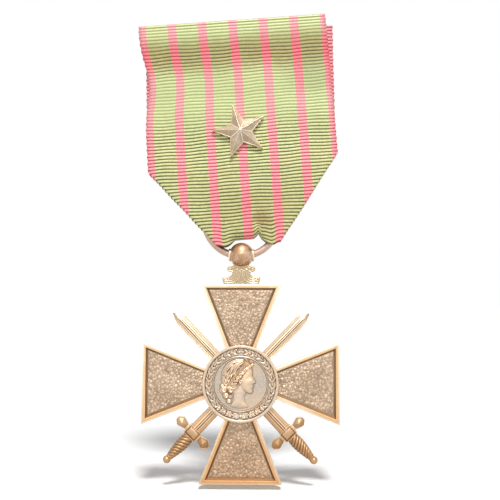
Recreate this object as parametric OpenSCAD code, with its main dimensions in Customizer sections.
// A military service medal: a flared cross with two swords, hung by a ball and ring
// from a folded ribbon that carries a star and is pinned on with a brooch.
// +Z is up, the front faces -Y, and the origin is the middle of the brooch pin's bare shank.

/* [Cross] */
// Distance between the outer edges of opposite arms
cross_span = 37; // [34:0.5:42]
// Width of each arm along its outer edge
arm_tip_w = 15.3; // [13:0.1:17]
// Width that each arm's sides have when run on to the centre of the cross
arm_root_w = 0.7; // [0.4:0.05:1.4]
// Thickness of the cross through its raised rims
cross_t = 2.2; // [2:0.1:2.8]
// Width of the raised rim round each arm
rim_w = 1.05; // [0.8:0.05:1.4]
// Depth of the sunk field inside each rim, on both faces
field_depth = 0.45; // [0.2:0.05:0.6]
// Diameter of the plain hub that joins the arms
hub_d = 13; // [11:0.5:13.6]
// Floor left in the hub behind the sword channels
hub_floor_t = 0.5; // [0.4:0.05:0.8]

/* [Medallions] */
// Diameter of the front medallion
front_medallion_d = 14.2; // [14:0.1:15.4]
// Thickness of the front medallion's plate
front_medallion_t = 0.8; // [0.5:0.05:1.2]
// Diameter of the back medallion
back_medallion_d = 13.6; // [13.6:0.1:15]
// Thickness of the back medallion's plate
back_medallion_t = 0.6; // [0.4:0.05:1]
// Width of the raised edge of both medallions
medallion_rim_w = 0.5; // [0.3:0.05:0.8]
// Height of that raised edge above the plate
medallion_rim_h = 0.3; // [0.15:0.05:0.5]
// Diameter of the rivet that clamps the swords into the hub
centre_rivet_d = 1.2; // [0.8:0.1:1.6]

/* [Swords] */
// Angle of each blade above the horizontal
sword_angle = 46; // [43:0.5:47]
// Distance from the centre of the cross to the point of the blade
blade_reach = 18.3; // [16:0.1:21]
// Width of the blade
blade_w = 2.15; // [1.6:0.05:2.6]
// Thickness of the blade along its middle ridge
blade_ridge_t = 1.7; // [1.2:0.1:2]
// Thickness of the blade along its edges
blade_edge_t = 0.6; // [0.3:0.1:1]
// Length of the tapered point
blade_point_len = 1.7; // [1:0.1:3]
// Width of the flat tang that lies in the hub
tang_w = 1.6; // [1:0.1:2]
// Distance from the centre of the cross to the middle of the guard
guard_reach = 12.8; // [12:0.1:14.5]
// Overall length of the guard
guard_len = 7.9; // [5:0.1:8]
// Diameter of the guard's bar
guard_bar_d = 0.84; // [0.6:0.02:1.2]
// Diameter of the pointed knob at each end of the guard
guard_knob_d = 1.7; // [1.2:0.02:1.8]
// Length of each pointed knob
guard_knob_len = 1.7; // [1.2:0.1:2]
// Side of the square block in the middle of the guard
guard_block_w = 2; // [1.4:0.1:2.4]
// Length of the grip between guard block and pommel
grip_len = 6; // [4:0.1:7]
// Greatest diameter of the swollen grip
grip_d = 2.4; // [2.2:0.1:2.9]
// Diameter of the grip where it leaves the guard block
grip_top_d = 2.1; // [1.6:0.1:2.2]
// Diameter of the grip at the pommel
grip_end_d = 1; // [0.8:0.1:1.3]
// Diameter of the pommel
pommel_d = 1.5; // [1.3:0.1:2]

/* [Scroll mount] */
// Height from the top of the cross to the bottom of the ball
mount_h = 3.2; // [2.6:0.1:4.5]
// Thickness of the mount from front to back
mount_t = 1.7; // [1.2:0.1:2.1]
// Width of the foot that is soldered to the cross
mount_foot_w = 6.5; // [5.5:0.1:8]
// Overall width across the two lower scrolls
lower_scroll_w = 7.2; // [6:0.1:9]
// Diameter of each lower scroll
lower_scroll_d = 1.5; // [1.2:0.1:1.8]
// Overall width across the two upper scrolls
upper_scroll_w = 5.3; // [4.4:0.1:6]
// Diameter of each upper scroll
upper_scroll_d = 1.25; // [1:0.05:1.4]
// Width of the neck between the scrolls
mount_neck_w = 3.3; // [2.4:0.1:4]

/* [Ball and ring] */
// Diameter of the drilled ball
ball_d = 4.7; // [4.2:0.1:5.6]
// Distance between the two flats where the ball is drilled
ball_flat_w = 4; // [3.4:0.1:4]
// Thickness of the bush's flange on each side of the ball
flange_t = 0.55; // [0.3:0.05:0.7]
// Wall of the bush that lines the ball
bush_wall = 0.22; // [0.15:0.01:0.3]
// Diameter of the ring, measured to the middle of its wire
ring_d = 14.2; // [13:0.1:17]
// Diameter of the ring's wire
wire_d = 1.3; // [1:0.05:1.4]
// Clearance all round the curved wire inside the bush
bush_play = 0.1; // [0.05:0.01:0.2]
// Width of the saw cut that lets the ring be opened and threaded
ring_cut_w = 0.12; // [0.05:0.01:0.3]

/* [Ribbon] */
// Width of the ribbon
ribbon_w = 36.5; // [32:0.5:40]
// Thickness of one layer of ribbon
ply_t = 0.35; // [0.25:0.05:0.5]
// Height of the ribbon's top edge above the middle of the ring
ribbon_top = 39; // [38:0.5:46]
// Height above the middle of the ring where the sides start to fold in
shoulder_h = 10; // [9:0.5:12]
// Width left at the bottom of the folded point
ribbon_tip_w = 13; // [12:0.5:16]
// Depth of the bottom of the loop below the middle of the ring
loop_drop = 4; // [3.2:0.1:4.1]
// Gap between the ring's wire and the cloth around it
loop_play = 0.35; // [0.25:0.05:0.5]
// Height above the middle of the ring where the loop starts to close
close_start = 9.5; // [9:0.5:10]
// Height above the middle of the ring where both layers lie close together
close_end = 24; // [22:0.5:26]
// Gap left between the two layers where they lie close together
layer_gap = 0.3; // [0.2:0.05:0.6]
// Angle by which the top of the ribbon leans to the left
ribbon_lean = 4.3; // [0:0.1:6]
// Distance from the ring to the middle line of the ribbon
ribbon_shift = 0.9; // [-1:0.1:1]

/* [Star] */
// Diameter of the circle through the star's five points
star_d = 10.8; // [8:0.1:12]
// Diameter of the circle through the five inner corners
star_waist_d = 4.5; // [3.4:0.1:5]
// Thickness of the star's edge
star_edge_t = 0.8; // [0.2:0.05:0.8]
// Height of the faceted middle above that edge
star_ridge_h = 1.1; // [0.6:0.05:1.6]
// Turn of the star, anticlockwise from one point up
star_turn = 12; // [0:1:36]
// Height of the star above the middle of the ring
star_h = 16.5; // [15.5:0.1:18]
// Width of each fixing prong
prong_w = 0.8; // [0.5:0.1:1.2]
// Thickness of each fixing prong
prong_t = 0.25; // [0.15:0.05:0.3]
// Distance between the two prongs
prong_pitch = 2; // [1.6:0.1:2.4]
// Length of the bent end of each prong
prong_bend_len = 1.6; // [1:0.1:2]

/* [Brooch] */
// Distance from each side of the ribbon in to the end of the brooch bar
bar_margin = 3.25; // [2.5:0.25:4]
// Height of the brooch bar
bar_h = 4.4; // [4:0.1:5]
// Thickness of the brooch bar
bar_t = 0.7; // [0.5:0.05:1]
// Distance from the ribbon's top edge down to the middle of the bar
bar_drop = 6; // [5.5:0.1:7]
// Distance from the back of the bar out to the middle of the pin
pin_stand = 1.9; // [1.8:0.1:3]
// Distance from the end of the bar in to the pivot of the pin
pivot_inset = 2.5; // [2.3:0.1:3]
// Diameter of the pin's shank
pin_d = 0.8; // [0.6:0.05:0.9]
// Distance from the pin's point to the end of the bar behind it
point_inset = 0.5; // [0.2:0.1:1]
// Length of the sharpened end of the pin
pin_point_len = 4; // [3.5:0.1:4.5]
// Diameter of the flat eye at the pivot end of the pin
eye_d = 3.2; // [2.6:0.1:3.4]
// Thickness of that eye
eye_t = 0.9; // [0.7:0.05:1.1]
// Length of the thicker neck between the eye and the shank
neck_len = 0.8; // [0.4:0.1:1.4]
// Diameter of that neck
neck_d = 1.2; // [1:0.1:1.4]
// Running clearance of the eye on its rivet and beside its faces
pivot_play = 0.06; // [0.03:0.01:0.1]
// Diameter of the pivot rivet's shank
pivot_rivet_d = 1.1; // [0.8:0.05:1.3]
// Diameter of the pivot rivet's head
pivot_head_d = 2.1; // [1.8:0.1:2.6]
// Thickness of the pivot rivet's head
pivot_head_t = 0.4; // [0.3:0.05:0.6]
// Width of the hinge block along the bar
block_w = 4; // [3.4:0.1:4.4]
// Length of the catch along the bar
catch_len = 2.2; // [1.8:0.1:2.6]
// Radius of the hollow inside the catch
catch_inner_r = 0.75; // [0.65:0.05:0.8]
// Thickness of the catch's metal
catch_t = 0.5; // [0.35:0.05:0.6]
// Straight lip that hangs below the curl of the catch
catch_lip = 0.35; // [0.2:0.05:0.6]

/* [Stitching] */
// Thickness of the sewing thread
thread_d = 0.35; // [0.25:0.05:0.45]
// Number of places where thread is wrapped over the bar
wrap_count = 4; // [3:1:5]
// Number of turns of thread in each place
wrap_turns = 3; // [2:1:4]
// Distance between neighbouring wrapped places
wrap_pitch = 4.6; // [4:0.1:5]
// Length of one seam stitch
seam_stitch_len = 1.2; // [0.8:0.1:1.6]
// Distance from one seam stitch to the next
seam_pitch = 2.2; // [1.9:0.1:3]
// Distance from the ribbon's top edge down to the seam
seam_drop = 2.6; // [2:0.1:3]

/* [Hidden] */
$fn = 64;
// Clearance of parts that are soldered or riveted into place
seat_play = 0.03;
// Extra length that takes a cutting shape clear of the face it cuts through
past = 1;

cross_r = cross_span / 2;
hub_r = hub_d / 2;
side_angle = atan((arm_tip_w - arm_root_w) / 2 / cross_r);
tang_back = cross_t / 2 - hub_floor_t;
lap_y = (tang_back - cross_t / 2) / 2;
ball_r = ball_d / 2;
ring_r = ring_d / 2;
wire_r = wire_d / 2;

// The straight bush is drilled wide enough for the bow of the curved wire inside it
bush_half_len = ball_flat_w / 2 + flange_t;
wire_bow = ring_r - sqrt(ring_r * ring_r - bush_half_len * bush_half_len);
bush_bore_r = wire_r + wire_bow / 2 + bush_play;
bush_r = bush_bore_r + bush_wall;
flange_r = sqrt(ball_r * ball_r - ball_flat_w * ball_flat_w / 4);

// Heights below the middle of the ring
ball_below_ring = ring_r - wire_bow / 2;
cross_below_ring = ball_below_ring + ball_r + mount_h + cross_r;

// The folded edges make the loop two layers thick around the ring
loop_inner_r = wire_r + loop_play;
loop_outer_r = loop_inner_r + 2 * ply_t;
top_inner = layer_gap / 2;
top_outer = top_inner + ply_t;
loop_centre = loop_outer_r - loop_drop;
close_angle = atan((loop_outer_r - top_outer) / (close_end - close_start));

// Depths behind the middle plane of the ribbon, and heights above the middle of the ring
bar_len = ribbon_w - 2 * bar_margin;
bar_back = top_outer + bar_t;
pin_depth = bar_back + pin_stand;
bar_at = ribbon_top - bar_drop;
pivot_offset = bar_len / 2 - pivot_inset;
pin_len = pivot_offset + bar_len / 2 - point_inset;
shank_start = eye_d / 2 + neck_len;
shank_end = pin_len - pin_point_len;
shank_mid = (shank_start + shank_end) / 2 - pivot_offset;
catch_at = shank_end - pivot_offset + pin_point_len * 0.42;
eye_gap_from_bar = pin_stand - eye_t / 2 - pivot_play;

// The middle of the pin's bare shank is the origin of the part
lean_cos = cos(ribbon_lean);
lean_sin = sin(ribbon_lean);
origin_x = shank_mid + ribbon_shift;
ring_at = [bar_at * lean_sin - origin_x * lean_cos, -pin_depth, -bar_at * lean_cos - origin_x * lean_sin];

function arm_half(r) = arm_root_w / 2 + (arm_tip_w - arm_root_w) / 2 * r / cross_r;
function closing(h) = (h - close_start) / (close_end - close_start);
function front_of_ribbon(h) = loop_outer_r + (top_outer - loop_outer_r) * closing(h);
function inside_of_ribbon(h) = loop_inner_r + (top_inner - loop_inner_r) * closing(h);

// ---- Placing helpers ----

// Moves a shape drawn about the middle of the ring, upright as the medal hangs
module at_ring() {
    translate(ring_at) children();
}

// Moves a shape drawn about the centre of the cross
module at_cross() {
    at_ring() translate([0, 0, -cross_below_ring]) children();
}

// Moves a shape drawn about the ribbon's middle line, level with the middle of the ring
module at_ribbon() {
    at_ring() rotate([0, -ribbon_lean, 0]) translate([ribbon_shift, 0, 0]) children();
}

// Moves a shape drawn about the pin's line in the middle of the bar, on the bar's back face
module at_bar() {
    at_ribbon() translate([0, bar_back, bar_at]) children();
}

// Moves a shape drawn on a flat wall that faces -Y onto the ribbon's sloping front, at the star
module at_star() {
    at_ribbon() translate([0, -front_of_ribbon(star_h), star_h]) rotate([-close_angle, 0, 0]) children();
}

// Gives an outline drawn as seen from the front a thickness from y0 to y1
module plate(y0, y1) {
    translate([0, y1, 0]) rotate([90, 0, 0]) linear_extrude(y1 - y0) children();
}

// Gives an outline drawn as seen from the right a length from x0 to x1
module bar(x0, x1) {
    translate([x0, 0, 0]) rotate([90, 0, 90]) linear_extrude(x1 - x0) children();
}

// A round rod along X, from x0 to x1
module rod(r, x0, x1) {
    translate([x0, 0, 0]) rotate([0, 90, 0]) cylinder(r = r, h = x1 - x0);
}

// A round post along Y, from y0 to y1
module post(r, y0, y1) {
    translate([0, y1, 0]) rotate([90, 0, 0]) cylinder(r = r, h = y1 - y0);
}

// ---- Ribbon ----

// Side view of a closed loop of cloth, round at the bottom and thin at the top
module loop_side(bottom_r, top_r) {
    top_centre = ribbon_top - top_outer;
    union() {
        translate([0, loop_centre]) circle(r = bottom_r);
        translate([0, top_centre]) circle(r = top_r);
        polygon([
            [bottom_r, loop_centre], [bottom_r, close_start], [top_r, close_end], [top_r, top_centre],
            [-top_r, top_centre], [-top_r, close_end], [-bottom_r, close_start], [-bottom_r, loop_centre]
        ]);
    }
}

module ribbon_front() {
    polygon([
        [-ribbon_w / 2, ribbon_top], [-ribbon_w / 2, shoulder_h], [-ribbon_tip_w / 2, -loop_drop],
        [ribbon_tip_w / 2, -loop_drop], [ribbon_w / 2, shoulder_h], [ribbon_w / 2, ribbon_top]
    ]);
}

// The tunnel that the ring's wire runs through, cut where the loop crosses the ring
module ring_tunnel() {
    rotate([90, 0, 0]) rotate_extrude() translate([ring_r, 0]) circle(r = loop_inner_r - seat_play);
}

module prong_places() {
    for (side = [-1, 1]) translate([side * prong_pitch / 2, 0, 0]) children();
}

module ribbon() {
    color("olivedrab") difference() {
        at_ribbon() intersection() {
            bar(-ribbon_w / 2, ribbon_w / 2) difference() {
                loop_side(loop_outer_r, top_outer);
                loop_side(loop_inner_r, top_inner);
            }
            plate(-loop_outer_r - past, loop_outer_r + past) ribbon_front();
        }
        at_ring() ring_tunnel();
        at_star() prong_places() plate(-past, loop_inner_r) square([prong_w, prong_t] + [0.2, 0.2], center = true);
    }
}

// A row of flat seam stitches that closes the loop below the top fold
module loop_stitching() {
    reach = ribbon_w / 2 - seam_pitch;
    color("darkolivegreen") at_ribbon() for (x = [-reach : seam_pitch : reach]) {
        translate([x - seam_stitch_len / 2, top_outer, ribbon_top - seam_drop])
            cube([seam_stitch_len, thread_d, thread_d]);
    }
}

// One turn of thread over the bar and down to the cloth on both sides of it
module thread_wrap() {
    foot = bar_h / 2 + thread_d;
    difference() {
        translate([-thread_d / 2, -bar_t, -foot]) cube([thread_d, bar_t + thread_d, 2 * foot]);
        translate([-past, -bar_t - past, -bar_h / 2]) cube([2 * past, bar_t + past, bar_h]);
    }
}

module bar_stitching() {
    color("darkolivegreen") at_bar() for (place = [0 : wrap_count - 1], turn = [0 : wrap_turns - 1]) {
        x = (place - (wrap_count - 1) / 2) * wrap_pitch + (turn - (wrap_turns - 1) / 2) * thread_d * 1.4;
        translate([x, 0, 0]) thread_wrap();
    }
}

// ---- Brooch ----

module brooch_bar() {
    color("darkgoldenrod") at_bar() difference() {
        plate(-bar_t, 0) union() {
            square([bar_len - bar_h, bar_h], center = true);
            for (side = [-1, 1]) translate([side * (bar_len - bar_h) / 2, 0]) circle(d = bar_h);
        }
        translate([-pivot_offset, 0, 0]) post(pivot_rivet_d / 2 + seat_play, -bar_t - past, past);
    }
}

module hinge_block() {
    color("darkgoldenrod") at_bar() translate([-pivot_offset, 0, 0]) difference() {
        plate(0, eye_gap_from_bar) square([block_w, bar_h - 0.6], center = true);
        post(pivot_rivet_d / 2 + seat_play, -past, eye_gap_from_bar + past);
    }
}

module hinge_rivet() {
    head_at = pin_stand + eye_t / 2 + pivot_play;
    color("peru") at_bar() translate([-pivot_offset, 0, 0]) {
        post(pivot_rivet_d / 2, -bar_t, head_at);
        post(pivot_head_d / 2, head_at, head_at + pivot_head_t);
    }
}

module brooch_pin() {
    color("silver") at_bar() translate([-pivot_offset, pin_stand, 0]) difference() {
        union() {
            post(eye_d / 2, -eye_t / 2, eye_t / 2);
            intersection() {
                rod(neck_d / 2, 0, shank_start);
                translate([0, -eye_t / 2, -neck_d]) cube([shank_start, eye_t, 2 * neck_d]);
            }
            rod(pin_d / 2, 0, shank_end);
            translate([shank_end, 0, 0]) rotate([0, 90, 0]) cylinder(r1 = pin_d / 2, r2 = 0.05, h = pin_point_len);
        }
        post(pivot_rivet_d / 2 + pivot_play, -eye_t, eye_t);
    }
}

// The catch is a curl of metal, closed above the pin and open below it
module catch_side() {
    outer_r = catch_inner_r + catch_t;
    difference() {
        union() {
            circle(r = outer_r);
            translate([-outer_r, 0]) square([outer_r, outer_r]);
            translate([-pin_stand, outer_r - catch_t]) square([pin_stand, catch_t]);
            translate([-pin_stand, -outer_r]) square([catch_t, 2 * outer_r]);
        }
        circle(r = catch_inner_r);
        translate([catch_t - pin_stand, -outer_r - past]) square([pin_stand - catch_t + outer_r, outer_r + past]);
        translate([catch_t - pin_stand, 0]) square([pin_stand - catch_t, catch_inner_r]);
    }
    translate([catch_inner_r, -catch_lip]) square([catch_t, catch_lip]);
}

module catch_hook() {
    color("darkgoldenrod") at_bar() translate([catch_at, pin_stand, 0]) bar(-catch_len / 2, catch_len / 2) catch_side();
}

// ---- Star ----

// The back and the facets are fans of triangles, each with one corner in the star's middle
module star() {
    rim = [for (i = [0 : 9]) let (r = (i % 2 == 0 ? star_d : star_waist_d) / 2, a = 90 + star_turn + 36 * i)
        [r * cos(a), r * sin(a)]];
    back = [for (p = rim) [p[0], 0, p[1]]];
    edge = [for (p = rim) [p[0], -star_edge_t, p[1]]];
    middle = [[0, 0, 0], [0, -star_edge_t - star_ridge_h, 0]];
    color("peru") at_star() polyhedron(
        points = concat(back, edge, middle),
        faces = concat(
            [for (i = [0 : 9]) [i, (i + 1) % 10, 20]],
            [for (i = [0 : 9]) [i, i + 10, (i + 1) % 10 + 10, (i + 1) % 10]],
            [for (i = [0 : 9]) [i + 10, 21, (i + 1) % 10 + 10]]
        )
    );
}

// Two prongs that pass through the front layer and are bent flat behind it
module star_prongs() {
    reach = (front_of_ribbon(star_h) - inside_of_ribbon(star_h)) / cos(close_angle) + seat_play;
    color("peru") at_star() prong_places() {
        plate(0, reach) square([prong_w, prong_t], center = true);
        plate(reach, reach + prong_t) translate([-prong_w / 2, -prong_t / 2]) square([prong_w, prong_bend_len]);
    }
}

// ---- Ring and ball ----

module suspension_ring() {
    color("peru") at_ring() difference() {
        rotate([90, 0, 0]) rotate_extrude() translate([ring_r, 0]) circle(r = wire_r);
        translate([-ring_cut_w / 2, -wire_d, ring_r - wire_d]) cube([ring_cut_w, 2 * wire_d, 2 * wire_d]);
    }
}

// Moves a shape drawn about the middle of the ball
module at_ball() {
    at_ring() translate([0, 0, -ball_below_ring]) children();
}

module ball() {
    color("saddlebrown") at_ball() difference() {
        intersection() {
            sphere(r = ball_r);
            cube([ball_flat_w, ball_d + past, ball_d + past], center = true);
        }
        rod(bush_r + seat_play, -ball_r, ball_r);
    }
}

module ring_bush() {
    color("peru") at_ball() difference() {
        union() {
            rod(bush_r, -bush_half_len, bush_half_len);
            for (side = [-1, 1]) translate([side * (bush_half_len - flange_t / 2), 0, 0])
                rod(flange_r, -flange_t / 2, flange_t / 2);
        }
        rod(bush_bore_r, -bush_half_len - past, bush_half_len + past);
    }
}

// The mount is drawn above the top edge of the cross
module mount_outline() {
    cradle_w = ball_r * 0.9;
    cradle_z = mount_h + 0.4;
    lower_x = (lower_scroll_w - lower_scroll_d) / 2;
    lower_z = lower_scroll_d / 2 + 0.3;
    upper_x = (upper_scroll_w - upper_scroll_d) / 2;
    upper_z = mount_h - upper_scroll_d / 2 + 0.05;
    neck_z = (lower_z + upper_z) / 2;
    union() {
        for (side = [-1, 1]) {
            translate([side * lower_x, lower_z]) circle(d = lower_scroll_d);
            translate([side * upper_x, upper_z]) circle(d = upper_scroll_d);
        }
        polygon([
            [mount_foot_w / 2, 0], [lower_x, lower_z], [mount_neck_w / 2, neck_z], [upper_x, upper_z],
            [cradle_w / 2, cradle_z], [-cradle_w / 2, cradle_z],
            [-upper_x, upper_z], [-mount_neck_w / 2, neck_z], [-lower_x, lower_z], [-mount_foot_w / 2, 0]
        ]);
    }
}

module scroll_mount() {
    color("peru") difference() {
        at_cross() translate([0, 0, cross_r]) plate(-mount_t / 2, mount_t / 2) mount_outline();
        at_ball() sphere(r = ball_r);
    }
}

// ---- Cross ----

// One arm, drawn from the centre of the cross upwards
module arm_outline() {
    polygon([
        [-arm_half(0), 0], [arm_half(0), 0], [arm_half(cross_r), cross_r], [-arm_half(cross_r), cross_r]
    ]);
}

// The sunk field of one arm, a rim's width inside its outline
module field_outline() {
    top = cross_r - rim_w;
    in = rim_w / cos(side_angle);
    polygon([
        [0, 0], [arm_half(hub_r / 2) - in, hub_r / 2], [arm_half(top) - in, top],
        [in - arm_half(top), top], [in - arm_half(hub_r / 2), hub_r / 2]
    ]);
}

module four_arms() {
    for (turn = [0 : 90 : 270]) rotate(turn) children();
}

// The straight bar that each sword has inside the hub, widened by a clearance
module tang(clearance, y0, y1) {
    half = hub_r + clearance + 0.3;
    plate(y0, y1) square([2 * half, tang_w + 2 * clearance], center = true);
}

module sword_directions(angles) {
    for (a = angles) rotate([0, -a, 0]) children();
}

module cross() {
    color("darkgoldenrod") at_cross() difference() {
        union() {
            difference() {
                plate(-cross_t / 2, cross_t / 2) four_arms() arm_outline();
                plate(-cross_t / 2 - past, field_depth - cross_t / 2) four_arms() field_outline();
                plate(cross_t / 2 - field_depth, cross_t / 2 + past) four_arms() field_outline();
            }
            post(hub_r, -cross_t / 2, cross_t / 2);
        }
        sword_directions([sword_angle, 180 - sword_angle]) tang(seat_play, -cross_t / 2 - past, tang_back + seat_play);
        post(centre_rivet_d / 2 + seat_play, -cross_t, cross_t);
    }
}

// ---- Swords ----

// Section across the blade: a flattened lozenge with blunt edges
module blade_section() {
    polygon([
        [0, blade_w / 2], [-blade_edge_t / 2, blade_w / 2], [-blade_ridge_t / 2, 0], [-blade_edge_t / 2, -blade_w / 2],
        [blade_edge_t / 2, -blade_w / 2], [blade_ridge_t / 2, 0], [blade_edge_t / 2, blade_w / 2]
    ]);
}

module blade() {
    shoulder = blade_reach - blade_point_len;
    difference() {
        intersection() {
            bar(-guard_reach, blade_reach) blade_section();
            plate(-blade_ridge_t, blade_ridge_t) polygon([
                [-guard_reach, -blade_w / 2], [shoulder, -blade_w / 2], [blade_reach, 0],
                [shoulder, blade_w / 2], [-guard_reach, blade_w / 2]
            ]);
        }
        post(hub_r + seat_play, -cross_t, cross_t);
    }
}

module guard() {
    knob_mid = guard_len / 2 - guard_knob_len / 2;
    plate(-guard_block_w / 2, guard_block_w / 2) square(guard_block_w, center = true);
    post(guard_block_w / 4, -guard_block_w / 2 - 0.15, guard_block_w / 2 + 0.15);
    for (side = [0, 180]) rotate([0, side, 0]) rotate_extrude() polygon([
        [0, 0], [guard_bar_d / 2, 0], [guard_bar_d / 2, knob_mid - guard_knob_len / 2],
        [guard_knob_d / 2, knob_mid], [0, guard_len / 2]
    ]);
}

module grip() {
    rotate([0, -90, 0]) rotate_extrude() polygon([
        [0, 0], [grip_top_d / 2, 0], [grip_d / 2, grip_len * 0.28], [grip_d * 0.48, grip_len * 0.48],
        [grip_d * 0.37, grip_len * 0.72], [grip_end_d / 2, grip_len], [0, grip_len]
    ]);
}

// A sword along +X, through the hub; the other sword crosses it at other_angle
module sword(other_angle, notch_front) {
    color("peru") difference() {
        union() {
            blade();
            tang(0, -cross_t / 2, tang_back);
            translate([-guard_reach, 0, 0]) guard();
            translate([-guard_reach - guard_block_w / 2, 0, 0]) grip();
            translate([-guard_reach - guard_block_w / 2 - grip_len, 0, 0]) sphere(d = pommel_d);
        }
        rotate([0, -other_angle, 0]) {
            if (notch_front) tang(seat_play, -cross_t / 2 - past, lap_y);
            else tang(seat_play, lap_y, tang_back + past);
        }
        post(centre_rivet_d / 2 + seat_play, -cross_t, cross_t);
    }
}

module sword_left() {
    at_cross() rotate([0, sword_angle - 180, 0]) sword(2 * sword_angle - 180, true);
}

module sword_right() {
    at_cross() rotate([0, -sword_angle, 0]) sword(180 - 2 * sword_angle, false);
}

// ---- Medallions ----

// A round plate with a raised edge, its flat back on y = 0 and its face towards -Y
module medallion(d, t) {
    difference() {
        post(d / 2, -t - medallion_rim_h, 0);
        post(d / 2 - medallion_rim_w, -t - medallion_rim_h - past, -t);
    }
}

module front_medallion() {
    color("peru") at_cross() translate([0, -cross_t / 2, 0]) medallion(front_medallion_d, front_medallion_t);
}

module back_medallion() {
    color("peru") at_cross() translate([0, cross_t / 2, 0]) mirror([0, 1, 0])
        medallion(back_medallion_d, back_medallion_t);
}

module centre_rivet() {
    color("saddlebrown") at_cross() post(centre_rivet_d / 2, -cross_t / 2, cross_t / 2);
}

ribbon();
loop_stitching();
bar_stitching();
brooch_bar();
hinge_block();
hinge_rivet();
brooch_pin();
catch_hook();
star();
star_prongs();
suspension_ring();
ball();
ring_bush();
scroll_mount();
cross();
sword_left();
sword_right();
front_medallion();
back_medallion();
centre_rivet();
